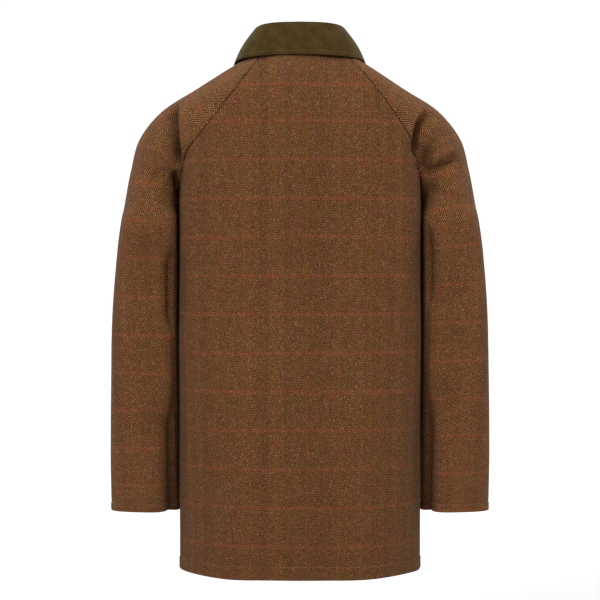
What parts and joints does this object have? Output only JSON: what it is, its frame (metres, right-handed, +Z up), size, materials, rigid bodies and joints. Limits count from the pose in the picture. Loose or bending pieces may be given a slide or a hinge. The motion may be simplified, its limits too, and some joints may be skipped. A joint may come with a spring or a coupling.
{
  "type": "tweed jacket",
  "caption": "Raglan-sleeved tweed field jacket with a turned-down moleskin collar, buttoned up and filled out as worn, open at the neck, hem and cuffs.",
  "frame": {"origin": "middle of the neck opening, level with the seam of the collar at the nape, where the wearer's neck and shoulders hold the jacket", "axes": "+Z up along the body, +X towards the wearer's left, -Y out of the front"},
  "size_m": [0.5972, 0.2499, 0.8429],
  "materials": {
    "tweed": "woollen herringbone tweed in brown, rust and olive, with a soft red and ochre overcheck",
    "moleskin": "short brushed cotton nap in dark olive, with a soft sheen",
    "button": "mottled dark horn effect, half polished"
  },
  "bodies": {
    "root": {"back": "tweed", "front_left": "tweed", "front_right": "tweed", "sleeve_left_back": "tweed", "sleeve_left_front": "tweed", "sleeve_right_back": "tweed", "sleeve_right_front": "tweed", "collar_stand": "moleskin", "collar_fall": "moleskin", "button_1": "button", "button_2": "button", "button_3": "button", "button_4": "button", "button_5": "button"}
  },
  "joints": []
}
